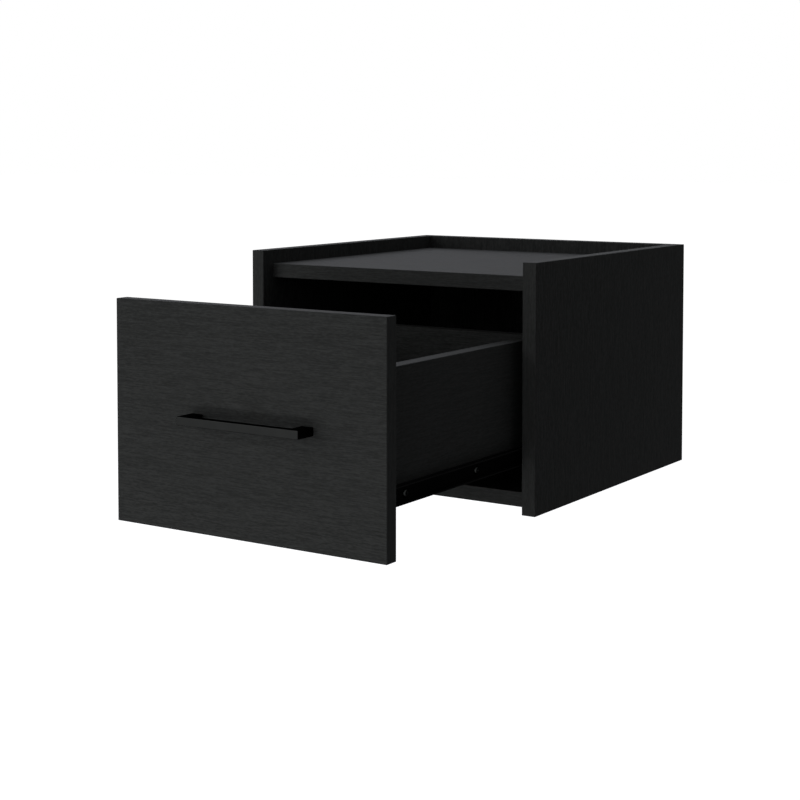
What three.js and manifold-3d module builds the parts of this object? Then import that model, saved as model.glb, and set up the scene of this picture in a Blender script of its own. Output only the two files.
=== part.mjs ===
// Floating nightstand: a wall-hung cabinet of black wood-grain boards with one drawer.
// The drawer runs on a pair of ball-bearing slides and stands open, against the slides' stops.
// Millimetres, +Z up, front towards -Y. The origin is the centre of the back face, on the wall.

import * as THREE from 'three';
import { mergeVertices } from 'three/addons/utils/BufferGeometryUtils.js';
import Module from 'manifold-3d';

const wasm = await Module();
wasm.setup();

// Cabinet boards
const CABINET_WIDTH = 350;
const CABINET_DEPTH = 355;
const CABINET_HEIGHT = 250;
const PANEL_THICKNESS = 15;
const BACK_THICKNESS = 15;
// How far the sides and the back stand above the top panel, as a gallery
const GALLERY_RISE = 15;
// How far the top and bottom panels' front edges lie behind those of the sides
const PANEL_SETBACK = 17;
// The bottom panel's underside, above the lower edges of the sides
const BASE_REVEAL = 4;

// Drawer boards
const FRONT_THICKNESS = 15;
const FRONT_GAP = 3;
const DRAWER_BOARD = 15;
const DRAWER_SIDE_HEIGHT = 124;
// The lower edges of the drawer's sides, above the lower edges of the cabinet's sides
const DRAWER_SIDE_RISE = 46;
const DRAWER_BASE_THICKNESS = 3;
const DRAWER_BASE_RISE = 8;
const GROOVE_DEPTH = 5;
// Between the drawer's back and the back panel, when the drawer is shut
const DRAWER_REAR_SPACE = 23;

// Handle, a flat bar on two square posts
const HANDLE_HOLE_SPACING = 128;
const HANDLE_POST_WIDTH = 12.5;
const HANDLE_BAR_DEPTH = 8;
const HANDLE_HEIGHT = 8;
const HANDLE_PROJECTION = 23.5;
// The handle's centre, right of and above the centre of the drawer front
const HANDLE_SHIFT = 8;
const HANDLE_LIFT = 1;
const HANDLE_SCREW_DIAMETER = 4;
const HANDLE_SCREW_GRIP = 9;
const HANDLE_SCREW_HEAD_DIAMETER = 8;
const HANDLE_SCREW_HEAD_HEIGHT = 2.5;

// Slides: a cabinet channel, a drawer channel inside it and a cage of balls between them
const SLIDE_SPACE = 12.5;
const SLIDE_SETBACK = 1;
const SLIDE_SHEET = 1;
const SLIDE_BEND_RADIUS = 1.2;
// The slides' centre line, above the lower edges of the drawer's sides
const SLIDE_RISE = 10.6;
const DRAWER_CHANNEL_HEIGHT = 17;
const DRAWER_CHANNEL_DEPTH = 9;
const CABINET_CHANNEL_DEPTH = 9;
const STOP_TAB_HEIGHT = 8;
const RACE_WIDTH = 4;
const RACE_DEPTH = 0.5;
const BALL_DIAMETER = 4;
const BALL_CLEARANCE = 0.15;
const BALL_PITCH = 9;
const CAGE_LENGTH = 62.4;
const CAGE_SHEET = 0.8;
const CAGE_LIP = 2.6;

// Slide screws, and the length of the point of every wood screw
const SLIDE_SCREW_DIAMETER = 3.5;
const WOOD_SCREW_POINT = 2.5;
const CABINET_SCREW_GRIP = 11;
const CABINET_SCREW_INSET = 37;
const CABINET_SCREW_HEAD_DIAMETER = 7;
const CABINET_SCREW_HEAD_HEIGHT = 1.1;
const DRAWER_SCREW_GRIP = 8.5;
const DRAWER_SCREW_INSET = 26;
const DRAWER_SCREW_DROP = 1.5;
const DRAWER_SCREW_HEAD_DIAMETER = 8;
const DRAWER_SCREW_HEAD_HEIGHT = 1.8;

// Cam locks and their bolts
const CAM_DIAMETER = 15;
const CAM_HEIGHT = 12;
const CAM_INSET = 24;
const CAM_DRIVE_LENGTH = 9;
const CAM_DRIVE_WIDTH = 1.6;
const CAM_DRIVE_DEPTH = 1.4;
const BOLT_THREAD_DIAMETER = 6;
const BOLT_THREAD_GRIP = 10.5;
const BOLT_NECK_DIAMETER = 5;
const BOLT_HEAD_DIAMETER = 7;
const BOLT_HEAD_LENGTH = 2.5;

// Dowels
const DOWEL_DIAMETER = 8;
const DOWEL_FACE_GRIP = 10;
const DOWEL_EDGE_GRIP = 20;

// Keyhole hanger plates, let into the back panel
const HANGER_SPACING = 200;
const HANGER_DROP = 75;
const HANGER_HEIGHT = 60;
const HANGER_WIDTH = 22;
const HANGER_SHEET = 2;
const HANGER_SCREW_SPACING = 48;
const HANGER_SCREW_DIAMETER = 3.5;
const HANGER_SCREW_HEAD_DIAMETER = 7;
const HANGER_SCREW_GRIP = 9;
const KEYHOLE_ENTRY_DIAMETER = 11;
const KEYHOLE_SLOT_WIDTH = 5.5;
const KEYHOLE_RISE = 13;
const KEYHOLE_POCKET_DEPTH = 6;
const KEYHOLE_POCKET_MARGIN = 1.5;

// Gap left round a piece in its bore, groove or pocket, and the overrun of a cut
const CLEARANCE = 0.3;
const OVERRUN = 2;

// Number of sides of the round pieces, and of the arcs in the folded sheets
const ROUND_SIDES = 16;
const BALL_SIDES = 8;
const BALL_RINGS = 4;
const BEND_STEPS = 3;
const RACE_STEPS = 6;

// Where the fixings lie, as shares of the edge that they are spread along
const CAM_PLACE_SHARE = 0.28;
const DOWEL_PLACE_SHARE = 0.72;
const BACK_DOWEL_SHARES = [0.22, 0.78];
const DRAWER_CAM_SHARE = 0.68;
const DRAWER_DOWEL_SHARE = 0.3;
const DRAWER_BACK_DOWEL_SHARE = 0.5;

// Places that follow from the sizes
const SIDES = [
  { name: 'left', sign: -1 },
  { name: 'right', sign: 1 },
];
const FRONT_Y = -CABINET_DEPTH;
const BASE_Z = -CABINET_HEIGHT / 2;
const CROWN_Z = CABINET_HEIGHT / 2;
const INSIDE_X = CABINET_WIDTH / 2 - PANEL_THICKNESS;
const PANEL_FRONT_Y = FRONT_Y + PANEL_SETBACK;
const PANEL_BACK_Y = -BACK_THICKNESS;
const TOP_PANEL_Z = CROWN_Z - GALLERY_RISE - PANEL_THICKNESS;
const BOTTOM_PANEL_Z = BASE_Z + BASE_REVEAL;

// The drawer is modelled shut, and its group stands open by the travel
const BOX_FRONT_Y = FRONT_Y + FRONT_THICKNESS;
const BOX_BACK_Y = PANEL_BACK_Y - DRAWER_REAR_SPACE;
const BOX_OUTSIDE_X = INSIDE_X - SLIDE_SPACE;
const BOX_INSIDE_X = BOX_OUTSIDE_X - DRAWER_BOARD;
const BOX_BASE_Z = BASE_Z + DRAWER_SIDE_RISE;
const BOX_TOP_Z = BOX_BASE_Z + DRAWER_SIDE_HEIGHT;
const DRAWER_BASE_Z = BOX_BASE_Z + DRAWER_BASE_RISE;
const FRONT_HALF_WIDTH = INSIDE_X - FRONT_GAP;
const FRONT_TOP_Z = TOP_PANEL_Z - FRONT_GAP;
const HANDLE_Z = (BASE_Z + FRONT_TOP_Z) / 2 + HANDLE_LIFT;

const SLIDE_Z = BOX_BASE_Z + SLIDE_RISE;
const SLIDE_FRONT_Y = BOX_FRONT_Y + SLIDE_SETBACK;
const SLIDE_BACK_Y = BOX_BACK_Y - SLIDE_SETBACK;
const SLIDE_LENGTH = SLIDE_BACK_Y - SLIDE_FRONT_Y;
const BALL_OUT = (DRAWER_CHANNEL_DEPTH + SLIDE_SPACE - CABINET_CHANNEL_DEPTH) / 2;
const BALL_RISE = DRAWER_CHANNEL_HEIGHT / 2 - RACE_DEPTH + BALL_CLEARANCE + BALL_DIAMETER / 2;
const CAGE_OUT = DRAWER_CHANNEL_DEPTH + CLEARANCE + CAGE_SHEET / 2;
const CAGE_FRONT_Y = (SLIDE_FRONT_Y + SLIDE_BACK_Y - CAGE_LENGTH) / 2;
// The channels overlap by the cage, held between a stop tab of each, when the drawer is wide open
const DRAWER_TRAVEL = SLIDE_LENGTH - CAGE_LENGTH - 2 * (SLIDE_SHEET + CLEARANCE);

const HANGER_Z = CROWN_Z - HANGER_DROP;
const KEYHOLE_ENTRY_Z = HANGER_Z - KEYHOLE_RISE / 2;
const KEYHOLE_TOP_Z = HANGER_Z + KEYHOLE_RISE / 2;
const HANGER_SCREWS = [
  { place: 'lower', z: HANGER_Z - HANGER_SCREW_SPACING / 2 },
  { place: 'upper', z: HANGER_Z + HANGER_SCREW_SPACING / 2 },
];

// Finishes
function finish(color, roughness, metalness) {
  return () => new THREE.MeshStandardMaterial({ color, roughness, metalness });
}
const boardFinish = finish(0x26282a, 0.55, 0);
const insideFinish = finish(0x1b1c1d, 0.6, 0);
const blackMetal = finish(0x0c0c0d, 0.4, 0.6);
const slideSteel = finish(0x141516, 0.35, 0.8);
const ballSteel = finish(0x8c8f92, 0.25, 1);
const zincSteel = finish(0x8f9194, 0.35, 1);
const darkScrew = finish(0x3a3b3d, 0.35, 0.9);
const beech = finish(0xb99a6b, 0.7, 0);

// Solids for cutting and joining
function toSolid(geometry) {
  const bare = geometry.clone();
  bare.deleteAttribute('normal');
  bare.deleteAttribute('uv');
  const merged = mergeVertices(bare);
  return new wasm.Manifold(new wasm.Mesh({
    numProp: 3,
    vertProperties: new Float32Array(merged.attributes.position.array),
    triVerts: new Uint32Array(merged.index.array),
  }));
}

function toGeometry(solid) {
  const mesh = solid.getMesh();
  const geometry = new THREE.BufferGeometry();
  geometry.setAttribute('position', new THREE.BufferAttribute(new Float32Array(mesh.vertProperties), 3));
  geometry.setIndex(new THREE.BufferAttribute(new Uint32Array(mesh.triVerts), 1));
  geometry.computeVertexNormals();
  return geometry;
}

function cut(geometry, cutters) {
  const solids = [geometry, ...cutters].map(toSolid);
  return toGeometry(solids.reduce((rest, cutter) => rest.subtract(cutter)));
}

function join(geometries) {
  return toGeometry(geometries.map(toSolid).reduce((whole, piece) => whole.add(piece)));
}

// A block between two corners, given in any order
function block(cornerA, cornerB) {
  const corners = [cornerA, cornerB].map((corner) => new THREE.Vector3(...corner));
  const box = new THREE.Box3().setFromPoints(corners);
  const size = box.getSize(new THREE.Vector3());
  const centre = box.getCenter(new THREE.Vector3());
  return new THREE.BoxGeometry(size.x, size.y, size.z).translate(centre.x, centre.y, centre.z);
}

// Turns a geometry made along +Y so that it points along the direction, and moves it to the start
function aim(geometry, start, direction) {
  const up = new THREE.Vector3(0, 1, 0);
  const turn = new THREE.Quaternion().setFromUnitVectors(up, new THREE.Vector3(...direction));
  return geometry.applyQuaternion(turn).translate(...start);
}

// A round rod or bore that starts at a point and runs along a direction
function rod(diameter, length, start, direction) {
  const geometry = new THREE.CylinderGeometry(diameter / 2, diameter / 2, length, ROUND_SIDES);
  return aim(geometry.translate(0, length / 2, 0), start, direction);
}

// A bore that also runs back past its mouth
function bore(diameter, depth, mouth, direction) {
  const start = mouth.map((value, axis) => value - direction[axis] * OVERRUN);
  return rod(diameter, depth + OVERRUN, start, direction);
}

// A turned piece: its outline is a list of [radius, distance along the direction]
function turned(outline, start, direction) {
  const points = outline.map(([radius, along]) => new THREE.Vector2(radius, along));
  return aim(new THREE.LatheGeometry(points, ROUND_SIDES), start, direction);
}

// A pan-head screw whose head rests on the start point, pointing along the direction
function panScrew(headDiameter, headHeight, shankDiameter, shankLength, pointLength, start, direction) {
  const crown = headHeight / 3;
  return turned([
    [0, -headHeight],
    [headDiameter / 2 - crown, -headHeight],
    [headDiameter / 2, crown - headHeight],
    [headDiameter / 2, 0],
    [shankDiameter / 2, 0],
    [shankDiameter / 2, shankLength - pointLength],
    [0, shankLength],
  ], start, direction);
}

function extruded(points, length) {
  return new THREE.ExtrudeGeometry(new THREE.Shape(points), { depth: length, bevelEnabled: false });
}

// The outline of a folded sheet: a path of its middle line, thickened to both sides
function sheetOutline(path, thickness) {
  const offset = (side) => path.map((point, index) => {
    const before = path[index - 1];
    const after = path[index + 1];
    const into = (before ? point : after).clone().sub(before ?? point).normalize();
    const out = (after ?? point).clone().sub(after ? point : before).normalize();
    const tangent = into.add(out).normalize();
    const normal = new THREE.Vector2(-tangent.y, tangent.x);
    return point.clone().addScaledVector(normal, side * thickness / 2 / tangent.dot(out));
  });
  return [...offset(1), ...offset(-1).reverse()];
}

// Points of a quarter bend from one direction into another, around a corner
function bend(corner, from, to, radius) {
  const centre = corner.clone().addScaledVector(from, -radius).addScaledVector(to, radius);
  return Array.from({ length: BEND_STEPS + 1 }, (_, step) => {
    const angle = step / BEND_STEPS * Math.PI / 2;
    return centre.clone()
      .addScaledVector(to, -radius * Math.cos(angle))
      .addScaledVector(from, radius * Math.sin(angle));
  });
}

// A flange with a dished raceway for the balls, from its bend out to its lip
function racedFlange(centreOut, height, dish, lipOut) {
  const points = Array.from({ length: RACE_STEPS + 1 }, (_, step) => {
    const share = step / RACE_STEPS;
    const out = centreOut + (share - 1 / 2) * RACE_WIDTH * Math.sign(lipOut - centreOut);
    return new THREE.Vector2(out, height + dish * Math.sin(share * Math.PI));
  });
  return [...points, new THREE.Vector2(lipOut, height)];
}

// A channel's middle line, from the lower lip round the web to the upper lip
function channelPath(webOut, lipOut, halfHeight, dish) {
  const outward = new THREE.Vector2(Math.sign(lipOut - webOut), 0);
  const upward = new THREE.Vector2(0, 1);
  const upper = [
    ...bend(new THREE.Vector2(webOut, halfHeight), upward, outward, SLIDE_BEND_RADIUS),
    ...racedFlange(BALL_OUT, halfHeight, dish, lipOut),
  ];
  const lower = upper.map((point) => new THREE.Vector2(point.x, -point.y)).reverse();
  return [...lower, ...upper];
}

// Extrudes a slide section along Y. Its first axis runs from the drawer's side out to the cabinet's
function slideSection(outline, sign, frontY, length) {
  const points = outline.map(({ x, y }) => new THREE.Vector2(sign * (BOX_OUTSIDE_X + x), y));
  return extruded(points, length).rotateX(Math.PI / 2).translate(0, frontY + length, SLIDE_Z);
}

// A tab bent across the end of a channel, to stop the ball cage there
function stopTab(sign, [nearOut, farOut], frontY) {
  return block(
    [sign * (BOX_OUTSIDE_X + nearOut), frontY, SLIDE_Z - STOP_TAB_HEIGHT / 2],
    [sign * (BOX_OUTSIDE_X + farOut), frontY + SLIDE_SHEET, SLIDE_Z + STOP_TAB_HEIGHT / 2],
  );
}

// Where each slide's screws lie
const CABINET_SCREWS = [
  { place: 'front', y: SLIDE_FRONT_Y + CABINET_SCREW_INSET },
  { place: 'rear', y: SLIDE_BACK_Y - CABINET_SCREW_INSET },
];
const DRAWER_SCREWS = [
  { place: 'front', y: SLIDE_FRONT_Y + DRAWER_SCREW_INSET },
  { place: 'middle', y: (SLIDE_FRONT_Y + SLIDE_BACK_Y) / 2 },
  { place: 'rear', y: SLIDE_BACK_Y - DRAWER_SCREW_INSET },
];
const DRAWER_SCREW_Z = SLIDE_Z - DRAWER_SCREW_DROP;

// Cabinet fixings. Each joins a panel's end to the inner face of a side, at x = sign * INSIDE_X
const PANEL_LENGTH = PANEL_BACK_Y - PANEL_FRONT_Y;
const PANEL_JOINTS = [
  { name: 'top', z: TOP_PANEL_Z },
  { name: 'bottom', z: BOTTOM_PANEL_Z },
].map(({ name, z }) => ({
  name,
  underside: z,
  middle: z + PANEL_THICKNESS / 2,
  camY: PANEL_FRONT_Y + CAM_PLACE_SHARE * PANEL_LENGTH,
  dowelY: PANEL_FRONT_Y + DOWEL_PLACE_SHARE * PANEL_LENGTH,
}));
const BACK_DOWEL_Y = -BACK_THICKNESS / 2;
const BACK_DOWELS = ['lower', 'upper'].map((place, index) => ({
  place,
  z: BASE_Z + BACK_DOWEL_SHARES[index] * CABINET_HEIGHT,
}));

// Drawer fixings. Each joins a drawer side's front end to the drawer front, at y = BOX_FRONT_Y
const BOX_SIDE_MIDDLE_X = BOX_OUTSIDE_X - DRAWER_BOARD / 2;
const DRAWER_CAM_Z = BOX_BASE_Z + DRAWER_CAM_SHARE * DRAWER_SIDE_HEIGHT;
const DRAWER_DOWEL_Z = BOX_BASE_Z + DRAWER_DOWEL_SHARE * DRAWER_SIDE_HEIGHT;
const DRAWER_BACK_DOWEL_Y = BOX_BACK_Y - DRAWER_BOARD / 2;
const DRAWER_BACK_DOWEL_Z = BOX_BASE_Z + DRAWER_BACK_DOWEL_SHARE * DRAWER_SIDE_HEIGHT;

// Bores for a fixing. The seam is the point where the two boards meet, on the fixing's axis,
// and inward points from the board with the face bore into the board with the edge bore
function reverse(direction) {
  return direction.map((value) => -value);
}

// A point moved by steps, each a direction and a distance along it
function shift(point, ...steps) {
  return steps.reduce((place, [direction, distance]) => (
    place.map((value, axis) => value + direction[axis] * distance)
  ), point);
}

function boltFaceBore(seam, inward) {
  return bore(BOLT_THREAD_DIAMETER + 2 * CLEARANCE, BOLT_THREAD_GRIP + CLEARANCE, seam, reverse(inward));
}

function boltEdgeBores(seam, inward, camAxis, camFace) {
  const mouth = camMouth(seam, inward, camAxis, camFace);
  return [
    bore(BOLT_HEAD_DIAMETER + 2 * CLEARANCE, CAM_INSET, seam, inward),
    bore(CAM_DIAMETER, CAM_HEIGHT + CLEARANCE, mouth, reverse(camAxis)),
  ];
}

function dowelFaceBore(seam, inward) {
  return bore(DOWEL_DIAMETER + 2 * CLEARANCE, DOWEL_FACE_GRIP + CLEARANCE, seam, reverse(inward));
}

function dowelEdgeBore(seam, inward) {
  return bore(DOWEL_DIAMETER + 2 * CLEARANCE, DOWEL_EDGE_GRIP + CLEARANCE, seam, inward);
}

// The centre of the cam's outer face. camAxis is the outward normal of the board face with the cam,
// and camFace is how far that face lies from the fixing's axis
function camMouth(seam, inward, camAxis, camFace) {
  return shift(seam, [inward, CAM_INSET], [camAxis, camFace]);
}

function camBolt(seam, inward) {
  const neckEnd = CAM_INSET - BOLT_HEAD_LENGTH / 2;
  return turned([
    [0, -BOLT_THREAD_GRIP],
    [BOLT_THREAD_DIAMETER / 2, -BOLT_THREAD_GRIP],
    [BOLT_THREAD_DIAMETER / 2, 0],
    [BOLT_NECK_DIAMETER / 2, 0],
    [BOLT_NECK_DIAMETER / 2, neckEnd],
    [BOLT_HEAD_DIAMETER / 2, neckEnd],
    [BOLT_HEAD_DIAMETER / 2, neckEnd + BOLT_HEAD_LENGTH],
    [0, neckEnd + BOLT_HEAD_LENGTH],
  ], seam, inward);
}

// A round cam, hollowed from its inner end for the bolt's neck and head, with a driver slot outside
function camLock(seam, inward, camAxis, camFace) {
  const mouth = camMouth(seam, inward, camAxis, camFace);
  const body = rod(CAM_DIAMETER - 2 * CLEARANCE, CAM_HEIGHT, mouth, reverse(camAxis));
  const cross = new THREE.Vector3(...inward).cross(new THREE.Vector3(...camAxis)).toArray();
  const hollowHalf = BOLT_HEAD_DIAMETER / 2 + CLEARANCE;
  const centre = shift(mouth, [camAxis, -camFace]);
  const hollow = block(
    shift(centre, [inward, BOLT_HEAD_LENGTH / 2 + CLEARANCE], [cross, hollowHalf], [camAxis, hollowHalf]),
    shift(
      centre, [inward, -CAM_DIAMETER / 2 - OVERRUN], [cross, -hollowHalf],
      [camAxis, camFace - CAM_HEIGHT - OVERRUN],
    ),
  );
  const slot = block(
    shift(mouth, [inward, CAM_DRIVE_LENGTH / 2], [cross, CAM_DRIVE_WIDTH / 2], [camAxis, OVERRUN]),
    shift(
      mouth, [inward, -CAM_DRIVE_LENGTH / 2], [cross, -CAM_DRIVE_WIDTH / 2],
      [camAxis, -CAM_DRIVE_DEPTH],
    ),
  );
  return cut(body, [hollow, slot]);
}

function dowel(seam, inward) {
  const start = shift(seam, [inward, -DOWEL_FACE_GRIP]);
  return rod(DOWEL_DIAMETER, DOWEL_FACE_GRIP + DOWEL_EDGE_GRIP, start, inward);
}

// Directions from a side towards the middle, and the seams of the fixings there
function inwardOf(sign) {
  return [-sign, 0, 0];
}

function panelSeams(sign, joint) {
  return {
    cam: [sign * INSIDE_X, joint.camY, joint.middle],
    dowel: [sign * INSIDE_X, joint.dowelY, joint.middle],
  };
}

function backSeams(sign) {
  return BACK_DOWELS.map(({ z }) => [sign * INSIDE_X, BACK_DOWEL_Y, z]);
}

const DOWN = [0, 0, -1];
const BACKWARD = [0, 1, 0];

function drawerSeams(sign) {
  return {
    cam: [sign * BOX_SIDE_MIDDLE_X, BOX_FRONT_Y, DRAWER_CAM_Z],
    dowel: [sign * BOX_SIDE_MIDDLE_X, BOX_FRONT_Y, DRAWER_DOWEL_Z],
    back: [sign * BOX_INSIDE_X, DRAWER_BACK_DOWEL_Y, DRAWER_BACK_DOWEL_Z],
  };
}

// Cabinet boards
function sidePanel(sign) {
  const board = block([sign * INSIDE_X, FRONT_Y, BASE_Z], [sign * CABINET_WIDTH / 2, 0, CROWN_Z]);
  const inward = inwardOf(sign);
  const screwBore = SLIDE_SCREW_DIAMETER + 2 * CLEARANCE;
  return cut(board, [
    ...PANEL_JOINTS.flatMap((joint) => {
      const seams = panelSeams(sign, joint);
      return [boltFaceBore(seams.cam, inward), dowelFaceBore(seams.dowel, inward)];
    }),
    ...backSeams(sign).map((seam) => dowelFaceBore(seam, inward)),
    ...CABINET_SCREWS.map(({ y }) => (
      bore(screwBore, CABINET_SCREW_GRIP + CLEARANCE, [sign * INSIDE_X, y, SLIDE_Z], reverse(inward))
    )),
  ]);
}

function crossPanel(joint) {
  const board = block(
    [-INSIDE_X, PANEL_FRONT_Y, joint.underside],
    [INSIDE_X, PANEL_BACK_Y, joint.underside + PANEL_THICKNESS],
  );
  return cut(board, SIDES.flatMap(({ sign }) => {
    const seams = panelSeams(sign, joint);
    return [
      ...boltEdgeBores(seams.cam, inwardOf(sign), DOWN, PANEL_THICKNESS / 2),
      dowelEdgeBore(seams.dowel, inwardOf(sign)),
    ];
  }));
}

// Hanger plates: the keyhole's round entry is below its slot, so that the cabinet drops onto a screw
function hangerPlate(sign) {
  const x = sign * HANGER_SPACING / 2;
  const plate = block(
    [x - HANGER_WIDTH / 2, -HANGER_SHEET, HANGER_Z - HANGER_HEIGHT / 2],
    [x + HANGER_WIDTH / 2, 0, HANGER_Z + HANGER_HEIGHT / 2],
  );
  const depth = HANGER_SHEET + OVERRUN;
  const slotHalf = KEYHOLE_SLOT_WIDTH / 2;
  const cone = turned([
    [0, -CLEARANCE],
    [HANGER_SCREW_HEAD_DIAMETER / 2 + CLEARANCE, -CLEARANCE],
    [HANGER_SCREW_HEAD_DIAMETER / 2 + CLEARANCE, 0],
    [HANGER_SCREW_DIAMETER / 2 + CLEARANCE, HANGER_SHEET],
    [HANGER_SCREW_DIAMETER / 2 + CLEARANCE, depth],
    [0, depth],
  ], [0, 0, 0], reverse(BACKWARD));
  return cut(plate, [
    bore(KEYHOLE_ENTRY_DIAMETER, depth, [x, 0, KEYHOLE_ENTRY_Z], reverse(BACKWARD)),
    bore(KEYHOLE_SLOT_WIDTH, depth, [x, 0, KEYHOLE_TOP_Z], reverse(BACKWARD)),
    block([x - slotHalf, OVERRUN, KEYHOLE_ENTRY_Z], [x + slotHalf, -depth, KEYHOLE_TOP_Z]),
    ...HANGER_SCREWS.map(({ z }) => cone.clone().translate(x, 0, z)),
  ]);
}

function hangerScrew(sign, z) {
  return turned([
    [0, CLEARANCE],
    [HANGER_SCREW_HEAD_DIAMETER / 2 - CLEARANCE, CLEARANCE],
    [HANGER_SCREW_DIAMETER / 2, HANGER_SHEET],
    [HANGER_SCREW_DIAMETER / 2, HANGER_SHEET + HANGER_SCREW_GRIP - WOOD_SCREW_POINT],
    [0, HANGER_SHEET + HANGER_SCREW_GRIP],
  ], [sign * HANGER_SPACING / 2, 0, z], reverse(BACKWARD));
}

function backPanel() {
  const board = block([-INSIDE_X, -BACK_THICKNESS, BASE_Z], [INSIDE_X, 0, CROWN_Z]);
  const pocketHalf = KEYHOLE_ENTRY_DIAMETER / 2 + KEYHOLE_POCKET_MARGIN;
  const pocketFloor = -HANGER_SHEET - KEYHOLE_POCKET_DEPTH;
  const screwBore = HANGER_SCREW_DIAMETER + 2 * CLEARANCE;
  return cut(board, SIDES.flatMap(({ sign }) => {
    const x = sign * HANGER_SPACING / 2;
    const seatHalf = HANGER_WIDTH / 2 + CLEARANCE;
    return [
      ...backSeams(sign).map((seam) => dowelEdgeBore(seam, inwardOf(sign))),
      block(
        [x - seatHalf, OVERRUN, HANGER_Z - HANGER_HEIGHT / 2 - CLEARANCE],
        [x + seatHalf, -HANGER_SHEET, HANGER_Z + HANGER_HEIGHT / 2 + CLEARANCE],
      ),
      block(
        [x - pocketHalf, OVERRUN, KEYHOLE_ENTRY_Z - pocketHalf],
        [x + pocketHalf, pocketFloor, KEYHOLE_TOP_Z + pocketHalf],
      ),
      ...HANGER_SCREWS.map(({ z }) => (
        bore(screwBore, HANGER_SHEET + HANGER_SCREW_GRIP + CLEARANCE, [x, 0, z], reverse(BACKWARD))
      )),
    ];
  }));
}

// Drawer boards
function drawerBase() {
  const reach = GROOVE_DEPTH - CLEARANCE;
  return block(
    [-BOX_INSIDE_X - reach, BOX_FRONT_Y - reach, DRAWER_BASE_Z],
    [BOX_INSIDE_X + reach, BOX_BACK_Y - DRAWER_BOARD + reach, DRAWER_BASE_Z + DRAWER_BASE_THICKNESS],
  );
}

// The groove that the drawer base sits in, as one block that each board is cut by
function drawerGroove() {
  return block(
    [-BOX_INSIDE_X - GROOVE_DEPTH, BOX_FRONT_Y - GROOVE_DEPTH, DRAWER_BASE_Z - CLEARANCE],
    [
      BOX_INSIDE_X + GROOVE_DEPTH,
      BOX_BACK_Y - DRAWER_BOARD + GROOVE_DEPTH,
      DRAWER_BASE_Z + DRAWER_BASE_THICKNESS + CLEARANCE,
    ],
  );
}

function drawerFront() {
  const board = block(
    [-FRONT_HALF_WIDTH, FRONT_Y, BASE_Z],
    [FRONT_HALF_WIDTH, BOX_FRONT_Y, FRONT_TOP_Z],
  );
  const through = FRONT_THICKNESS + OVERRUN;
  return cut(board, [
    drawerGroove(),
    ...SIDES.flatMap(({ sign }) => [
      boltFaceBore(drawerSeams(sign).cam, BACKWARD),
      dowelFaceBore(drawerSeams(sign).dowel, BACKWARD),
      bore(HANDLE_SCREW_DIAMETER + 2 * CLEARANCE, through, handleHole(sign), reverse(BACKWARD)),
    ]),
  ]);
}

function drawerSide(sign) {
  const board = block(
    [sign * BOX_INSIDE_X, BOX_FRONT_Y, BOX_BASE_Z],
    [sign * BOX_OUTSIDE_X, BOX_BACK_Y, BOX_TOP_Z],
  );
  const seams = drawerSeams(sign);
  const inward = inwardOf(sign);
  const screwBore = SLIDE_SCREW_DIAMETER + 2 * CLEARANCE;
  return cut(board, [
    drawerGroove(),
    ...boltEdgeBores(seams.cam, BACKWARD, inward, DRAWER_BOARD / 2),
    dowelEdgeBore(seams.dowel, BACKWARD),
    dowelFaceBore(seams.back, inward),
    ...DRAWER_SCREWS.map(({ y }) => (
      bore(screwBore, DRAWER_SCREW_GRIP + CLEARANCE, [sign * BOX_OUTSIDE_X, y, DRAWER_SCREW_Z], inward)
    )),
  ]);
}

function drawerBack() {
  const board = block(
    [-BOX_INSIDE_X, BOX_BACK_Y - DRAWER_BOARD, BOX_BASE_Z],
    [BOX_INSIDE_X, BOX_BACK_Y, BOX_TOP_Z],
  );
  return cut(board, [
    drawerGroove(),
    ...SIDES.map(({ sign }) => dowelEdgeBore(drawerSeams(sign).back, inwardOf(sign))),
  ]);
}

// Handle: the outline of the bar and posts seen from above, extruded to the handle's height
function handleHole(sign) {
  return [HANDLE_SHIFT + sign * HANDLE_HOLE_SPACING / 2, BOX_FRONT_Y, HANDLE_Z];
}

function handle() {
  const outer = (HANDLE_HOLE_SPACING + HANDLE_POST_WIDTH) / 2;
  const inner = outer - HANDLE_POST_WIDTH;
  const barBack = HANDLE_BAR_DEPTH - HANDLE_PROJECTION;
  const outline = [
    [-outer, -HANDLE_PROJECTION], [outer, -HANDLE_PROJECTION], [outer, 0], [inner, 0],
    [inner, barBack], [-inner, barBack], [-inner, 0], [-outer, 0],
  ].map((point) => new THREE.Vector2(...point));
  const body = extruded(outline, HANDLE_HEIGHT);
  body.translate(HANDLE_SHIFT, FRONT_Y, HANDLE_Z - HANDLE_HEIGHT / 2);
  return cut(body, SIDES.map(({ sign }) => {
    const [x, , z] = handleHole(sign);
    const threadBore = HANDLE_SCREW_DIAMETER + 2 * CLEARANCE;
    return bore(threadBore, HANDLE_SCREW_GRIP + CLEARANCE, [x, FRONT_Y, z], reverse(BACKWARD));
  }));
}

function handleScrew(sign) {
  return panScrew(
    HANDLE_SCREW_HEAD_DIAMETER, HANDLE_SCREW_HEAD_HEIGHT, HANDLE_SCREW_DIAMETER,
    FRONT_THICKNESS + HANDLE_SCREW_GRIP, CLEARANCE, handleHole(sign), reverse(BACKWARD),
  );
}

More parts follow.
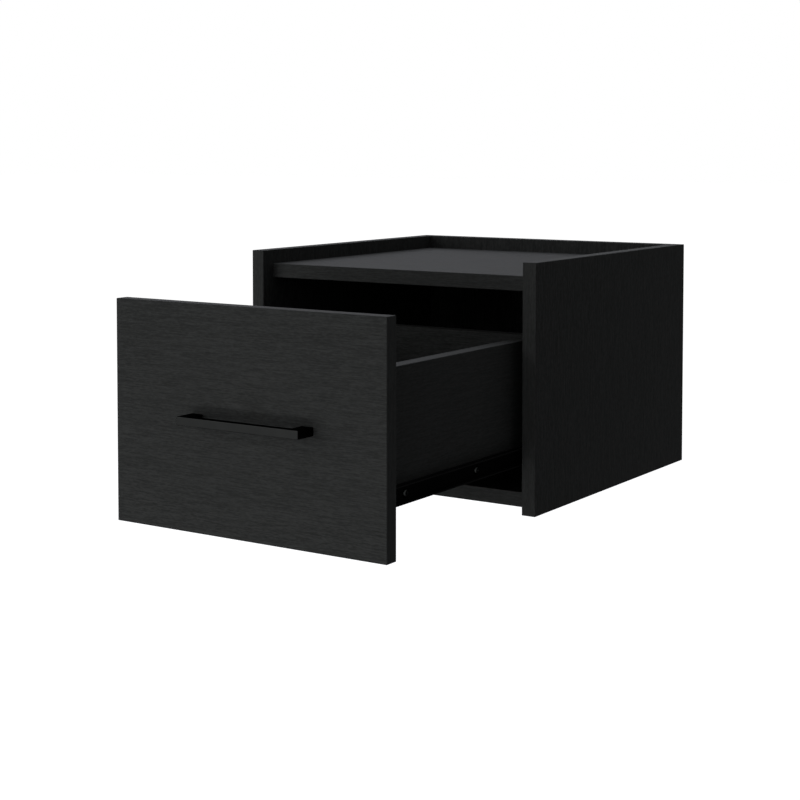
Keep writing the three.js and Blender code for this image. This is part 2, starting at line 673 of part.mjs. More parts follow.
// Slides. Sections are drawn with their first axis outward from the drawer's side
function cabinetChannel(sign) {
  const inner = BALL_RISE + BALL_DIAMETER / 2 + BALL_CLEARANCE - RACE_DEPTH;
  const web = SLIDE_SPACE - SLIDE_SHEET / 2;
  const lip = SLIDE_SPACE - CABINET_CHANNEL_DEPTH;
  const path = channelPath(web, lip, inner + SLIDE_SHEET / 2, RACE_DEPTH);
  const channel = slideSection(sheetOutline(path, SLIDE_SHEET), sign, SLIDE_FRONT_Y, SLIDE_LENGTH);
  const stop = stopTab(sign, [DRAWER_CHANNEL_DEPTH + CLEARANCE, web], SLIDE_FRONT_Y);
  const screwBore = SLIDE_SCREW_DIAMETER + 2 * CLEARANCE;
  const depth = SLIDE_SHEET + 2 * OVERRUN;
  return cut(join([channel, stop]), CABINET_SCREWS.map(({ y }) => (
    bore(screwBore, depth, [sign * (INSIDE_X - SLIDE_SHEET), y, SLIDE_Z], [sign, 0, 0])
  )));
}

function drawerChannel(sign) {
  const halfHeight = (DRAWER_CHANNEL_HEIGHT - SLIDE_SHEET) / 2;
  const path = channelPath(SLIDE_SHEET / 2, DRAWER_CHANNEL_DEPTH, halfHeight, -RACE_DEPTH);
  const channel = slideSection(sheetOutline(path, SLIDE_SHEET), sign, SLIDE_FRONT_Y, SLIDE_LENGTH);
  const tabOut = [SLIDE_SHEET / 2, CAGE_OUT + CAGE_SHEET / 2];
  const stop = stopTab(sign, tabOut, SLIDE_BACK_Y - SLIDE_SHEET);
  const screwBore = SLIDE_SCREW_DIAMETER + 2 * CLEARANCE;
  const depth = SLIDE_SHEET + OVERRUN;
  return cut(join([channel, stop]), DRAWER_SCREWS.map(({ y }) => (
    bore(screwBore, depth, [sign * (BOX_OUTSIDE_X + SLIDE_SHEET), y, DRAWER_SCREW_Z], inwardOf(sign))
  )));
}

// The cage: a folded strip that holds an upper and a lower row of balls
function ballCage(sign) {
  const outward = new THREE.Vector2(-1, 0);
  const upward = new THREE.Vector2(0, 1);
  const upper = [
    ...bend(new THREE.Vector2(CAGE_OUT, BALL_RISE), upward, outward, SLIDE_BEND_RADIUS),
    new THREE.Vector2(BALL_OUT - CAGE_LIP, BALL_RISE),
  ];
  const lower = upper.map((point) => new THREE.Vector2(point.x, -point.y)).reverse();
  const outline = sheetOutline([...lower, ...upper], CAGE_SHEET);
  const strip = slideSection(outline, sign, CAGE_FRONT_Y, CAGE_LENGTH);
  const count = Math.max(1, Math.floor(CAGE_LENGTH / BALL_PITCH));
  const firstY = CAGE_FRONT_Y + (CAGE_LENGTH - (count - 1) * BALL_PITCH) / 2;
  const ballX = sign * (BOX_OUTSIDE_X + BALL_OUT);
  const balls = Array.from({ length: count }, (_, index) => [1, -1].map((side) => (
    new THREE.SphereGeometry(BALL_DIAMETER / 2, BALL_SIDES, BALL_RINGS)
      .translate(ballX, firstY + index * BALL_PITCH, SLIDE_Z + side * BALL_RISE)
  )));
  return join([strip, ...balls.flat()]);
}

function cabinetScrew(sign, y) {
  return panScrew(
    CABINET_SCREW_HEAD_DIAMETER, CABINET_SCREW_HEAD_HEIGHT, SLIDE_SCREW_DIAMETER,
    SLIDE_SHEET + CABINET_SCREW_GRIP, WOOD_SCREW_POINT,
    [sign * (INSIDE_X - SLIDE_SHEET), y, SLIDE_Z], [sign, 0, 0],
  );
}

function drawerScrew(sign, y) {
  return panScrew(
    DRAWER_SCREW_HEAD_DIAMETER, DRAWER_SCREW_HEAD_HEIGHT, SLIDE_SCREW_DIAMETER,
    SLIDE_SHEET + DRAWER_SCREW_GRIP, WOOD_SCREW_POINT,
    [sign * (BOX_OUTSIDE_X + SLIDE_SHEET), y, DRAWER_SCREW_Z], inwardOf(sign),
  );
}

// Assembly
const nightstand = new THREE.Group();
const cabinet = new THREE.Group();
const drawer = new THREE.Group();
const cages = new THREE.Group();
drawer.position.y = -DRAWER_TRAVEL;
cages.position.y = -DRAWER_TRAVEL / 2;
nightstand.add(cabinet, drawer, cages);

function add(parent, name, geometry, material) {
  const mesh = new THREE.Mesh(geometry, material());
  mesh.name = name;
  parent.add(mesh);
}

for (const joint of PANEL_JOINTS) {
  add(cabinet, `${joint.name}_panel`, crossPanel(joint), boardFinish);
}
add(cabinet, 'back_panel', backPanel(), boardFinish);

for (const { name, sign } of SIDES) {
  const inward = inwardOf(sign);
  add(cabinet, `side_panel_${name}`, sidePanel(sign), boardFinish);
  for (const joint of PANEL_JOINTS) {
    const seams = panelSeams(sign, joint);
    const cam = camLock(seams.cam, inward, DOWN, PANEL_THICKNESS / 2);
    add(cabinet, `cam_bolt_${joint.name}_${name}`, camBolt(seams.cam, inward), zincSteel);
    add(cabinet, `cam_lock_${joint.name}_${name}`, cam, zincSteel);
    add(cabinet, `dowel_${joint.name}_${name}`, dowel(seams.dowel, inward), beech);
  }
  backSeams(sign).forEach((seam, index) => {
    add(cabinet, `dowel_back_${BACK_DOWELS[index].place}_${name}`, dowel(seam, inward), beech);
  });
  add(cabinet, `hanger_plate_${name}`, hangerPlate(sign), zincSteel);
  for (const { place, z } of HANGER_SCREWS) {
    add(cabinet, `hanger_screw_${place}_${name}`, hangerScrew(sign, z), zincSteel);
  }
  add(cabinet, `slide_cabinet_channel_${name}`, cabinetChannel(sign), slideSteel);
  for (const { place, y } of CABINET_SCREWS) {
    add(cabinet, `cabinet_slide_screw_${place}_${name}`, cabinetScrew(sign, y), darkScrew);
  }
}

add(drawer, 'drawer_front', drawerFront(), boardFinish);
add(drawer, 'drawer_back', drawerBack(), boardFinish);
add(drawer, 'drawer_base', drawerBase(), insideFinish);
add(drawer, 'handle', handle(), blackMetal);

for (const { name, sign } of SIDES) {
  const seams = drawerSeams(sign);
  const inward = inwardOf(sign);
  const cam = camLock(seams.cam, BACKWARD, inward, DRAWER_BOARD / 2);
  add(drawer, `drawer_side_${name}`, drawerSide(sign), boardFinish);
  add(drawer, `handle_screw_${name}`, handleScrew(sign), darkScrew);
  add(drawer, `cam_bolt_drawer_${name}`, camBolt(seams.cam, BACKWARD), zincSteel);
  add(drawer, `cam_lock_drawer_${name}`, cam, zincSteel);
  add(drawer, `dowel_drawer_front_${name}`, dowel(seams.dowel, BACKWARD), beech);
  add(drawer, `dowel_drawer_back_${name}`, dowel(seams.back, inward), beech);
  add(drawer, `slide_drawer_channel_${name}`, drawerChannel(sign), slideSteel);
  for (const { place, y } of DRAWER_SCREWS) {
    add(drawer, `drawer_slide_screw_${place}_${name}`, drawerScrew(sign, y), darkScrew);
  }
  add(cages, `ball_cage_${name}`, ballCage(sign), ballSteel);
}

export default nightstand;
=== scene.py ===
"""Floating nightstand: black wood-grain boards, a drawer on ball-bearing slides and a slim bar handle.

Lengths are in metres. A finish's noise scales are counted per metre.
"""
import math

import bmesh
import bpy
from mathutils import Matrix, Vector


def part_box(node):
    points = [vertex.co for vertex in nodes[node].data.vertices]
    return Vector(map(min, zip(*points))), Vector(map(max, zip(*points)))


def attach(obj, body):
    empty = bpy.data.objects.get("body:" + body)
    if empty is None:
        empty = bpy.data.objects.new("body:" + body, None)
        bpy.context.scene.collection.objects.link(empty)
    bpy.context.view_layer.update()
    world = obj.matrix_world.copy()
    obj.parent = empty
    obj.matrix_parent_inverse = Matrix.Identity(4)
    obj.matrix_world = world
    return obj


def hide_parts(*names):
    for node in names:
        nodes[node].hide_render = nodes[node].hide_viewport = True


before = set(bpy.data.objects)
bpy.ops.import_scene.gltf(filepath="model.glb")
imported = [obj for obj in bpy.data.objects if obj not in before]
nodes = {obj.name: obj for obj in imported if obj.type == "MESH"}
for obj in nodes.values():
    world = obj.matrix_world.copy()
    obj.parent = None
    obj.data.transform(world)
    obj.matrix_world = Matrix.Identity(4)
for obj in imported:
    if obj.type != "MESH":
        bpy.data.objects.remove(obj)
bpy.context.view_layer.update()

# The two sides, and the way out from the middle along X
SIDES = ("left", "right")
OUTWARD = (-1, 1)

# Points closer than this are one point, and turned pieces have the finer limit
MERGE = 0.00001
FINE_MERGE = MERGE / 4

# Faces that turn less than the flat angle are one face, and edges over the sharp angle are broken
FLAT_ANGLE = math.radians(1)
SHARP_ANGLE = math.radians(50)

# Widths of eased and broken edges
BOARD_EASE = 0.0006
HANDLE_EASE = 0.0004
PLATE_EASE = 0.0002
CHANNEL_EASE = 0.00015

# A channel's lip lies this near its open side and is longer than its end tabs
LIP_SETBACK = 0.0015
LIP_LENGTH = 0.05

# Turned fittings. A screw's head is given by its height and its shank by its width
SCREW_SIDES = 40
SLIDE_SCREW_HEAD = 0.0018
SLIM_SCREW_HEAD = 0.0011
SLIDE_SCREW_SHANK = 0.0035
HANDLE_SCREW_HEAD = 0.0025
HANDLE_SCREW_SHANK = 0.004
PLATE_SCREW_SHANK = 0.0035
PLATE_SCREW_RIM = 0.0002
CAM_SIDES = 48
CAM_RIM = 0.0004
CAM_CROSS_LENGTH = 0.0092
CAM_CROSS_WIDTH = 0.0016
CAM_CROSS_DEPTH = 0.0014
CROSS_TAPER = 0.72

# Light levels of the black surfaces
FOIL_LEVEL = 0.0285
# The edge banding is the foil made lighter: the extra lightness is painted light on the board edges
PAINTED_LIGHT_BAND_LEVEL = 0.032
COOL_TINT = (0.965, 1, 0.985)

# Floor and room
FLOOR_HEIGHT = -0.6
FLOOR_REACH = 30
FLOOR_LEVEL = 0.3
FLOOR_GLOW = 0.84
FLOOR_FADE_START = 1.2
FLOOR_FADE_END = 5
ROOM_LIGHT = 0.16
WHITE = (1, 1, 1, 1)

# Camera, with its angles in degrees and its lens in millimetres
CAMERA_PLACE = (0.94975, -1.78285, 0.24286)
CAMERA_TILT_DOWN = 2.98
CAMERA_TURN = 33.64
LENS = 75.07
LENS_SHIFT_X = 0.0175
LENS_SHIFT_Y = -0.2145


# Shader maths

class Value:
    """A socket's value in a finish, used in sums like a number."""

    def __init__(self, finish, socket):
        self.finish = finish
        self.socket = socket

    def maths(self, operation, first, second):
        return self.finish.node("ShaderNodeMath", {"operation": operation}, {0: first, 1: second})

    def __add__(self, other):
        return self.maths("ADD", self, other)

    def __radd__(self, other):
        return self.maths("ADD", other, self)

    def __sub__(self, other):
        return self.maths("SUBTRACT", self, other)

    def __rsub__(self, other):
        return self.maths("SUBTRACT", other, self)

    def __mul__(self, other):
        return self.maths("MULTIPLY", self, other)

    def __rmul__(self, other):
        return self.maths("MULTIPLY", other, self)


class Finish:
    """The node tree of a material or of the world."""

    def __init__(self, owner):
        owner.use_nodes = True
        self.owner = owner
        self.tree = owner.node_tree
        self.tree.nodes.clear()

    def node(self, kind, settings=None, sockets=None, output=0):
        """Adds a node, with its settings first and then its sockets' values or links."""
        made = self.tree.nodes.new(kind)
        for name, setting in (settings or {}).items():
            setattr(made, name, setting)
        for name, given in (sockets or {}).items():
            if isinstance(given, Value):
                self.tree.links.new(given.socket, made.inputs[name])
            else:
                made.inputs[name].default_value = given
        return Value(self, made.outputs[output]) if made.outputs else None

    def place(self, scale, offset=(0, 0, 0)):
        """Object coordinates, stretched by a scale along each axis."""
        coordinates = self.node("ShaderNodeTexCoord", output="Object")
        sockets = {"Vector": coordinates, "Location": offset, "Scale": scale}
        return self.node("ShaderNodeMapping", {}, sockets)

    def noise(self, scale, detail, roughness, offset=(0, 0, 0)):
        """Noise with a scale along each axis. Its offset keeps two patterns from matching."""
        place = self.place(scale, offset)
        sockets = {"Vector": place, "Scale": 1, "Detail": detail, "Roughness": roughness}
        return self.node("ShaderNodeTexNoise", {}, sockets)

    def ramp(self, amount, low, high):
        """0 below low, 1 above high and a smooth rise between them."""
        settings = {"interpolation_type": "SMOOTHSTEP"}
        sockets = {"Value": amount, "From Min": low, "From Max": high}
        return self.node("ShaderNodeMapRange", settings, sockets)

    def blend(self, amount, first, second):
        """A colour between two colours."""
        sockets = {0: amount, 6: first, 7: second}
        return self.node("ShaderNodeMix", {"data_type": "RGBA"}, sockets, 2)

    def bump(self, height, strength, depth):
        sockets = {"Height": height, "Strength": strength, "Distance": depth}
        return self.node("ShaderNodeBump", {}, sockets)

    def surface(self, **sockets):
        """Ends the material in a Principled shader. A socket's name is written with underscores."""
        named = {name.replace("_", " "): given for name, given in sockets.items()}
        shader = self.node("ShaderNodeBsdfPrincipled", {}, named)
        self.node("ShaderNodeOutputMaterial", {}, {"Surface": shader})
        return self.owner


def new_finish(name):
    return Finish(bpy.data.materials.new(name))


def grey(level):
    return (level, level, level, 1)


def cool_grey(level):
    """A grey with a faint green and blue cast."""
    return (*(level * share for share in COOL_TINT), 1)


def even(scale):
    """The same scale along every axis."""
    return (scale, scale, scale)


def stretch(axis, along, across):
    """A pattern's scale: long along one axis and fine across it."""
    return tuple(along if name == axis else across for name in "XYZ")


# Finishes

def foil(name, axis, across, contrast, level):
    """Matt black melamine foil with a fine printed grain along an axis."""
    finish = new_finish(name)
    long_streaks = finish.noise(stretch(axis, 38, across), detail=2, roughness=0.5)
    short_streaks = finish.noise(
        stretch(axis, 210, across * 1.2), detail=2, roughness=0.5, offset=(0.2, 0.9, 0.4),
    )
    streaks = long_streaks * 0.5 + short_streaks * 0.5
    figure = finish.noise(stretch(axis, 10, 200), detail=3, roughness=0.5, offset=(0.7, 0.3, 0.1))
    cloud = finish.noise(even(9), detail=2, roughness=0.5, offset=(3, 1, 2))
    speckle = finish.noise(stretch(axis, 90, 1600), detail=2, roughness=0.5, offset=(1.3, 2.1, 0.4))
    pores = finish.ramp(speckle, low=0.55, high=0.68)
    ink = finish.ramp(streaks * 0.84 + figure * 0.1 + cloud * 0.06, low=0.36, high=0.64)
    dark = cool_grey(level * (1 - contrast))
    light = cool_grey(level * (1 + contrast * 1.2))
    film = finish.blend(ink, dark, light)
    relief = streaks * 0.5 - pores * 0.5
    return finish.surface(
        Base_Color=finish.blend(pores * 0.4, film, cool_grey(level * 0.5)),
        Roughness=0.66 + streaks * 0.16,
        Specular_IOR_Level=0.012,
        Normal=finish.bump(relief, strength=0.22, depth=0.0002),
    )


def hardboard():
    """The drawer base: a black printed sheet with a faint dotted fibre."""
    finish = new_finish("drawer_base_film")
    fibre = finish.noise((420, 120, 420), detail=4, roughness=0.6)
    cloud = finish.noise(even(14), detail=2, roughness=0.5)
    tone = finish.ramp(fibre * 0.6 + cloud * 0.4, low=0.36, high=0.64)
    return finish.surface(
        Base_Color=finish.blend(tone, grey(0.015), grey(0.026)),
        Roughness=0.6 + fibre * 0.15,
        Specular_IOR_Level=0.03,
        Normal=finish.bump(fibre, strength=0.2, depth=0.00015),
    )


def handle_coat():
    """Satin black coat with a faint orange peel."""
    finish = new_finish("handle_coat")
    peel = finish.noise(even(1500), detail=2, roughness=0.5)
    cloud = finish.noise(even(60), detail=2, roughness=0.5)
    return finish.surface(
        Base_Color=finish.blend(cloud, cool_grey(0.0105), cool_grey(0.015)),
        Metallic=1.0,
        Roughness=0.24 + cloud * 0.12,
        Specular_Tint=grey(0),
        Normal=finish.bump(peel, strength=0.06, depth=0.0001),
    )


def slide_coat(name, level):
    """Thin black coat on rolled steel, with the rolling lines along the slide."""
    finish = new_finish(name)
    lines = finish.noise((900, 14, 900), detail=3, roughness=0.6)
    smudge = finish.noise((45, 25, 45), detail=3, roughness=0.6)
    return finish.surface(
        Base_Color=finish.blend(lines, grey(level * 0.7), grey(level * 1.3)),
        Metallic=0.5,
        Roughness=0.34 + smudge * 0.2,
        Specular_IOR_Level=0.0,
        Specular_Tint=grey(0),
        Normal=finish.bump(lines, strength=0.12, depth=0.0001),
    )


def plated(name, level, roughness, mottle, rim_shine=1):
    """Plated steel with a mottled shine. The rim shine is what shows at a grazing angle."""
    finish = new_finish(name)
    spangle = finish.noise(even(320), detail=3, roughness=0.6)
    scuff = finish.noise((90, 900, 90), detail=3, roughness=0.6)
    tone = finish.ramp(spangle * 0.6 + scuff * 0.4, low=0.35, high=0.65)
    return finish.surface(
        Base_Color=finish.blend(tone, grey(level * (1 - mottle)), cool_grey(level)),
        Metallic=1.0,
        Roughness=roughness + scuff * 0.16,
        Specular_Tint=grey(rim_shine),
        Normal=finish.bump(scuff, strength=0.08, depth=0.0001),
    )


def beech():
    """Raw beech with short dark flecks."""
    finish = new_finish("dowel_beech")
    grain = finish.noise(even(260), detail=4, roughness=0.6)
    specks = finish.noise(even(700), detail=2, roughness=0.5)
    flecks = finish.ramp(specks, low=0.58, high=0.66)
    dark = (0.42, 0.26, 0.12, 1)
    light = (0.6, 0.42, 0.23, 1)
    fleck = (0.25, 0.14, 0.06, 1)
    wood = finish.blend(grain, dark, light)
    return finish.surface(
        Base_Color=finish.blend(flecks * 0.5, wood, fleck),
        Roughness=0.65 + grain * 0.15,
        Normal=finish.bump(grain, strength=0.25, depth=0.0002),
    )


FOILS = [
    foil("foil_grain_x", "X", across=820, contrast=0.23, level=FOIL_LEVEL),
    foil("foil_grain_y", "Y", across=640, contrast=0.15, level=FOIL_LEVEL),
    foil("foil_grain_z", "Z", across=560, contrast=0.25, level=FOIL_LEVEL),
]
# Edge banding: the foil at a lighter level, which paints light onto the board edges
BANDS = [
    foil(f"painted_light_band_grain_{axis.lower()}", axis, across=760, contrast=0.15, level=PAINTED_LIGHT_BAND_LEVEL)
    for axis in "XYZ"
]
DRAWER_BASE = hardboard()
HANDLE = handle_coat()
SLIDE = slide_coat("slide_coat", level=0.008)
# The lips' lighter coat is a painted highlight along their edges
SLIDE_LIP_HIGHLIGHT = slide_coat("slide_lip_painted_highlight", level=0.022)
ZINC = plated("zinc_plate", level=0.55, roughness=0.3, mottle=0.3)
PLATE_SCREW = plated("screw_bright_zinc", level=0.42, roughness=0.22, mottle=0.3)
BRIGHT = plated("ball_steel", level=0.6, roughness=0.16, mottle=0.15)
DARK_SCREW = plated("screw_black", level=0.022, roughness=0.14, mottle=0.3, rim_shine=0)
BEECH = beech()


# Making and placing a piece

def dress(node, material):
    """Gives a CAD node its finish."""
    slots = nodes[node].data.materials
    slots.clear()
    slots.append(material)


def settle(name, form, materials, body, replaced):
    """Makes a finished piece of a bmesh, on its body and in place of a node."""
    mesh = bpy.data.meshes.new(name)
    form.to_mesh(mesh)
    form.free()
    for material in materials:
        mesh.materials.append(material)
    piece = bpy.data.objects.new(name, mesh)
    bpy.context.scene.collection.objects.link(piece)
    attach(piece, body)
    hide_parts(replaced)


def merged_copy(node):
    """A node's solid as a bmesh with shared corners and whole flat faces."""
    form = bmesh.new()
    form.from_mesh(nodes[node].data)
    bmesh.ops.remove_doubles(form, verts=form.verts, dist=MERGE)
    bmesh.ops.dissolve_limit(form, angle_limit=FLAT_ANGLE, verts=form.verts, edges=form.edges)
    return form


def ease(form, edges, width, segments):
    """Rounds edges over. One segment breaks them with a flat."""
    bmesh.ops.bevel(
        form, geom=edges, offset=width, offset_type="OFFSET", affect="EDGES",
        segments=segments, profile=0.5, material=-1, clamp_overlap=True,
    )


def outline_edges(form):
    """The edges where two sides of the form's own box meet."""
    low = [min(vert.co[axis] for vert in form.verts) for axis in range(3)]
    high = [max(vert.co[axis] for vert in form.verts) for axis in range(3)]

    def planes(vert):
        return {
            (axis, end) for axis in range(3) for end, limit in enumerate((low[axis], high[axis]))
            if abs(vert.co[axis] - limit) < MERGE
        }
    return [edge for edge in form.edges if len(planes(edge.verts[0]) & planes(edge.verts[1])) >= 2]


def sharp_edges(form):
    return [
        edge for edge in form.edges
        if len(edge.link_faces) == 2 and edge.calc_face_angle() > SHARP_ANGLE
    ]


# Boards, handle and sheet steel

def board(node, body, thickness, grain):
    """A board with eased corners, grained faces and banding along its edges. The banding is a lighter
    copy of the foil, which is painted light on the edges.
    """
    form = merged_copy(node)
    ease(form, outline_edges(form), BOARD_EASE, segments=2)
    for face in form.faces:
        normal = [abs(part) for part in face.normal]
        facing = "XYZ"[normal.index(max(normal))]
        if facing == thickness:
            face.material_index = "XYZ".index(grain)
        else:
            banded = next(axis for axis in "XYZ" if axis not in (facing, thickness))
            face.material_index = len(FOILS) + "XYZ".index(banded)
    settle(f"{node}_board", form, FOILS + BANDS, body, node)


def bar_handle():
    """The bar and its two posts, with crisp coated edges."""
    form = merged_copy("handle")
    ease(form, outline_edges(form), HANDLE_EASE, segments=3)
    settle("handle_bar", form, [HANDLE], "drawer", "handle")


def hanger_plate(node):
    """A stamped keyhole plate, with its sharp edges slightly broken."""
    form = merged_copy(node)
    ease(form, sharp_edges(form), PLATE_EASE, segments=1)
    settle(f"{node}_pressed", form, [ZINC], "cabinet", node)


def slide_channel(node, body, open_side):
    """A rolled channel. The outward faces of its two lips, on its open side, get a lighter coat that is
    a painted highlight.
    """
    form = merged_copy(node)
    ease(form, sharp_edges(form), CHANNEL_EASE, segments=1)
    reach = max(vert.co.x * open_side for vert in form.verts)
    for face in form.faces:
        ends = [vert.co.y for vert in face.verts]
        lip = face.calc_center_median().x * open_side > reach - LIP_SETBACK
        faces_out = face.normal.x * open_side > 0.5
        if lip and faces_out and max(ends) - min(ends) > LIP_LENGTH:
            # Painted highlight: this lip face takes the lighter coat
            face.material_index = 1
    settle(f"{node}_rolled", form, [SLIDE, SLIDE_LIP_HIGHLIGHT], body, node)


# Turned fittings

def lathe(profile, sides):
    """A turned bmesh from (radius, height) points, that starts and ends on its axis."""
    form = bmesh.new()
    verts = [form.verts.new((radius, 0, height)) for radius, height in profile]
    edges = [form.edges.new(pair) for pair in zip(verts, verts[1:])]
    bmesh.ops.spin(
        form, geom=verts + edges, cent=(0, 0, 0), axis=(0, 0, 1),
        angle=math.tau, steps=sides, use_merge=True,
    )
    bmesh.ops.remove_doubles(form, verts=form.verts, dist=FINE_MERGE)
    bmesh.ops.recalc_face_normals(form, faces=form.faces)
    return form


def cross_recess(form, top, length, width, depth):
    """Sinks a driver's cross into the flat end face at a height."""
    for axis in ((1, 0, 0), (0, 1, 0)):
        for reach in (length / 2, width / 2, -width / 2, -length / 2):
            near = [face for face in form.faces if abs(face.calc_center_median().z - top) < MERGE]
            edges = {edge for face in near for edge in face.edges}
            verts = {vert for face in near for vert in face.verts}
            geometry = [*near, *edges, *verts]
            bmesh.ops.bisect_plane(form, geom=geometry, plane_co=Vector(axis) * reach, plane_no=axis)
    bmesh.ops.remove_doubles(form, verts=form.verts, dist=FINE_MERGE)

    def inside(face):
        centre = face.calc_center_median()
        across, along = sorted((abs(centre.x), abs(centre.y)))
        return abs(centre.z - top) < MERGE and across < width / 2 and along < length / 2
    mouth = [face for face in form.faces if inside(face)]
    floor = bmesh.ops.extrude_face_region(form, geom=mouth)["geom"]
    moved = [part for part in floor if isinstance(part, bmesh.types.BMVert)]
    bmesh.ops.translate(form, verts=moved, vec=(0, 0, -depth))
    bmesh.ops.scale(form, verts=moved, vec=(CROSS_TAPER, CROSS_TAPER, 1))
    stale = [face for face in form.faces if inside(face)]
    bmesh.ops.delete(form, geom=stale, context="FACES")


def stand(form, point, direction):
    """Turns a piece made along +Z so that it points along a direction, and moves it to a point."""
    turn = Vector((0, 0, 1)).rotation_difference(Vector(direction)).to_matrix().to_4x4()
    bmesh.ops.transform(form, matrix=Matrix.Translation(point) @ turn, verts=form.verts)


def in_order(form):
    """The same form with its points and faces in a fixed order, which spinning doesn't give."""
    verts = sorted(form.verts, key=lambda vert: vert.co[:])
    place = {vert: index for index, vert in enumerate(verts)}
    faces = []
    for face in form.faces:
        corners = [place[vert] for vert in face.verts]
        first = corners.index(min(corners))
        faces.append(corners[first:] + corners[:first])
    ordered = bmesh.new()
    points = [ordered.verts.new(vert.co) for vert in verts]
    for corners in sorted(faces):
        ordered.faces.new([points[corner] for corner in corners])
    form.free()
    return ordered


def turned_size(node, outward):
    """A turned node's middle, its length along its axis and its width across it."""
    low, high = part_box(node)
    axis = [abs(part) for part in outward].index(1)
    return (low + high) / 2, (high - low)[axis], (high - low)[(axis + 1) % 3]


def crown(radius, height, flat, steps=5):
    """A domed head's outline, from its flat middle down to its rim."""
    turns = [math.pi / 2 * step / steps for step in range(steps + 1)]
    return [(flat + (radius - flat) * math.sin(turn), height * math.cos(turn)) for turn in turns]


def pan_screw(node, body, outward, head_height, shank):
    """A pan-head screw with a cross recess, whose head's top is at the node's outer end."""
    middle, length, head = turned_size(node, outward)
    rim = head_height * 0.25
    tip_start = head_height - length * 0.85
    dome = crown(head / 2, head_height - rim, flat=head * 0.3)
    lifted = [(radius, height + rim) for radius, height in dome]
    tail = [(head / 2, 0), (shank / 2, 0), (shank / 2, tip_start), (0, head_height - length)]
    form = lathe([(0, head_height)] + lifted + tail, SCREW_SIDES)
    cross_recess(form, head_height, length=head * 0.34, width=head * 0.09, depth=head_height * 0.5)
    stand(form, middle + Vector(outward) * (length / 2 - head_height), outward)
    settle(f"{node}_turned", in_order(form), [DARK_SCREW], body, node)


def countersunk_screw(node, body, outward, shank):
    """A flat-head screw with a cross recess, flush with the plate it holds."""
    middle, length, head = turned_size(node, outward)
    cone_end = PLATE_SCREW_RIM - (head - shank) / 2
    tip_start = head / 4 - length
    form = lathe([
        (0, 0), (head / 2 - PLATE_SCREW_RIM, 0), (head / 2, -PLATE_SCREW_RIM),
        (shank / 2, cone_end), (shank / 2, tip_start), (0, -length),
    ], SCREW_SIDES)
    cross_recess(form, 0, length=head * 0.62, width=head * 0.13, depth=head * 0.16)
    stand(form, middle + Vector(outward) * length / 2, outward)
    settle(f"{node}_turned", in_order(form), [PLATE_SCREW], body, node)


def cam(node, body, outward):
    """A round cam with a grooved rim and a driver's cross in its face."""
    middle, height, width = turned_size(node, outward)
    radius = width / 2
    form = lathe([
        (0, height), (radius - 3 * CAM_RIM, height), (radius - 2 * CAM_RIM, height - CAM_RIM),
        (radius - CAM_RIM, height), (radius, height - CAM_RIM), (radius, 0), (0, 0),
    ], CAM_SIDES)
    cross_recess(form, height, CAM_CROSS_LENGTH, CAM_CROSS_WIDTH, CAM_CROSS_DEPTH)
    stand(form, middle - Vector(outward) * height / 2, outward)
    settle(f"{node}_turned", in_order(form), [ZINC], body, node)


# The pieces, from the boards to the fittings

board("top_panel", "cabinet", "Z", "X")
board("bottom_panel", "cabinet", "Z", "X")
board("back_panel", "cabinet", "Y", "Z")
board("drawer_front", "drawer", "Y", "X")
board("drawer_back", "drawer", "Y", "X")
for side in SIDES:
    board(f"side_panel_{side}", "cabinet", "X", "Z")
    board(f"drawer_side_{side}", "drawer", "X", "Y")
dress("drawer_base", DRAWER_BASE)
bar_handle()

for side, sign in zip(SIDES, OUTWARD):
    for place in ("front", "middle", "rear"):
        screw = f"drawer_slide_screw_{place}_{side}"
        pan_screw(screw, "drawer", (sign, 0, 0), SLIDE_SCREW_HEAD, SLIDE_SCREW_SHANK)
    for place in ("front", "rear"):
        screw = f"cabinet_slide_screw_{place}_{side}"
        pan_screw(screw, "cabinet", (-sign, 0, 0), SLIM_SCREW_HEAD, SLIDE_SCREW_SHANK)
    pan_screw(f"handle_screw_{side}", "drawer", (0, 1, 0), HANDLE_SCREW_HEAD, HANDLE_SCREW_SHANK)

for side, sign in zip(SIDES, OUTWARD):
    cam(f"cam_lock_top_{side}", "cabinet", (0, 0, -1))
    cam(f"cam_lock_bottom_{side}", "cabinet", (0, 0, -1))
    cam(f"cam_lock_drawer_{side}", "drawer", (-sign, 0, 0))
    for joint in ("cam_bolt_top", "cam_bolt_bottom", "cam_bolt_drawer"):
        dress(f"{joint}_{side}", ZINC)
    hanger_plate(f"hanger_plate_{side}")
    for joint in ("top", "bottom", "back_lower", "back_upper", "drawer_front", "drawer_back"):
        dress(f"dowel_{joint}_{side}", BEECH)
    for place in ("lower", "upper"):
        countersunk_screw(f"hanger_screw_{place}_{side}", "cabinet", (0, 1, 0), PLATE_SCREW_SHANK)
    slide_channel(f"slide_cabinet_channel_{side}", "cabinet", -sign)
    slide_channel(f"slide_drawer_channel_{side}", "drawer", sign)
    dress(f"ball_cage_{side}", BRIGHT)


# Floor, light and camera

def seen_share(finish):
    """1 for what the camera, a gloss or a clear piece sees, and 0 for the light that falls on things."""
    camera, glossy, clear = (
        finish.node("ShaderNodeLightPath", output=f"Is {ray} Ray")
        for ray in ("Camera", "Glossy", "Transmission")
    )
    return finish.ramp(camera + glossy + clear, low=0, high=1)


def white_world():
    """White where it is seen, with a low even light on the nightstand."""
    finish = Finish(bpy.data.worlds.new("studio"))
    room = finish.node("ShaderNodeBackground", {}, {"Color": WHITE, "Strength": ROOM_LIGHT})
    white = finish.node("ShaderNodeBackground", {}, {"Color": WHITE, "Strength": 1})
    mixed = finish.node("ShaderNodeMixShader", {}, {0: seen_share(finish), 1: room, 2: white})
    finish.node("ShaderNodeOutputWorld", {}, {"Surface": mixed})
    bpy.context.scene.world = finish.owner


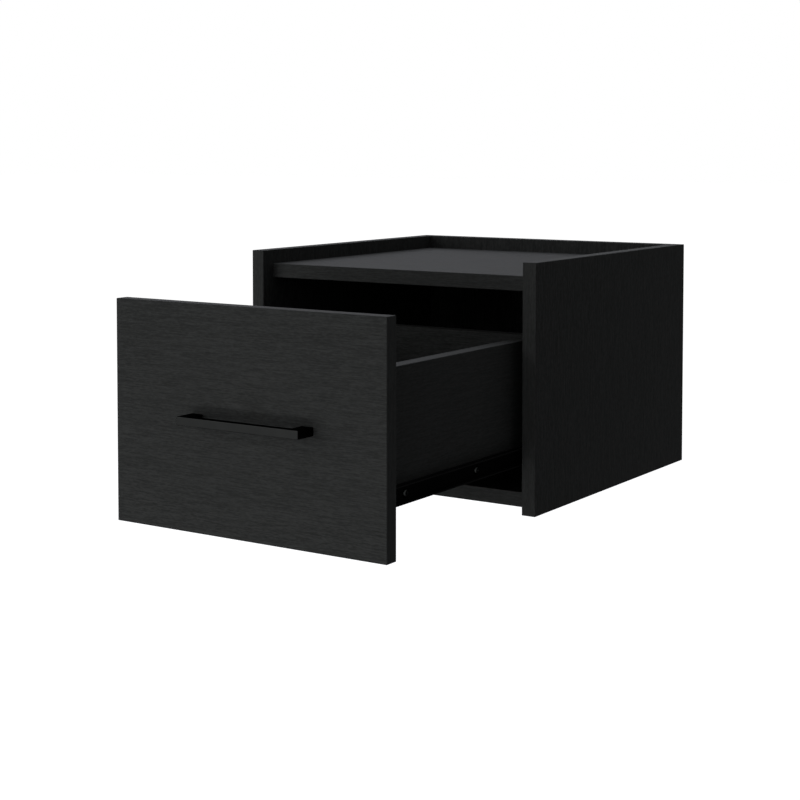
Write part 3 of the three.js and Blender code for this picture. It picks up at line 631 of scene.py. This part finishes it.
def pale_floor():
    """A floor well under the nightstand, white where it is seen, with the shadow left in it."""
    finish = new_finish("floor_white")
    bare = finish.node("ShaderNodeBsdfDiffuse", {}, {"Color": grey(FLOOR_LEVEL)})
    away = finish.node("ShaderNodeVectorMath", {"operation": "LENGTH"}, {0: finish.place((1, 1, 0))}, 1)
    far = finish.ramp(away, FLOOR_FADE_START, FLOOR_FADE_END)
    strength = seen_share(finish) * (FLOOR_GLOW + far * (1 - FLOOR_GLOW))
    glow = finish.node("ShaderNodeEmission", {}, {"Color": WHITE, "Strength": strength})
    both = finish.node("ShaderNodeAddShader", {}, {0: bare, 1: glow})
    finish.node("ShaderNodeOutputMaterial", {}, {"Surface": both})
    form = bmesh.new()
    bmesh.ops.create_grid(form, x_segments=1, y_segments=1, size=FLOOR_REACH)
    bmesh.ops.translate(form, verts=form.verts, vec=(0, 0, FLOOR_HEIGHT))
    mesh = bpy.data.meshes.new("floor")
    form.to_mesh(mesh)
    form.free()
    mesh.materials.append(finish.owner)
    floor = bpy.data.objects.new("floor", mesh)
    bpy.context.scene.collection.objects.link(floor)


def softbox(name, place, target, width, height, power, color=(1, 1, 1), mirrored=True):
    """A soft lamp facing a target. One that isn't mirrored leaves no reflection."""
    lamp = bpy.data.lights.new(name, "AREA")
    lamp.color = color
    lamp.shape = "RECTANGLE"
    lamp.size = width
    lamp.size_y = height
    lamp.energy = power
    made = bpy.data.objects.new(name, lamp)
    made.location = place
    made.rotation_euler = (Vector(target) - Vector(place)).to_track_quat("-Z", "Y").to_euler()
    made.visible_glossy = mirrored
    bpy.context.scene.collection.objects.link(made)


def photo_camera():
    """The camera in front, to the right and a little above the nightstand's top."""
    lens = bpy.data.cameras.new("camera")
    lens.sensor_width = 36
    lens.lens = LENS
    lens.shift_x = LENS_SHIFT_X
    lens.shift_y = LENS_SHIFT_Y
    lens.clip_end = 100
    camera = bpy.data.objects.new("camera", lens)
    camera.location = CAMERA_PLACE
    camera.rotation_euler = (math.radians(90 - CAMERA_TILT_DOWN), 0, math.radians(CAMERA_TURN))
    bpy.context.scene.collection.objects.link(camera)
    bpy.context.scene.camera = camera


white_world()
pale_floor()
softbox(
    "softbox_above", place=(-0.9, 0.7, 2.0), target=(0, -0.22, 0),
    width=2.0, height=4.0, power=64, color=(0.985, 0.99, 1.1),
)
softbox(
    "softbox_front_left", place=(-2.6, -4.05, 0.85), target=(0, -0.4, 0),
    width=2.6, height=3.0, power=80,
)
softbox(
    "softbox_front_right", place=(0.75, -4.2, 0.35), target=(0, -0.4, 0),
    width=1.2, height=1.8, power=9,
)
softbox(
    "softbox_low", place=(-0.2, -1.95, -0.5), target=(0, -0.4, 0),
    width=1.2, height=0.3, power=9.1, mirrored=False,
)
photo_camera()
bpy.context.scene.view_settings.view_transform = "Standard"
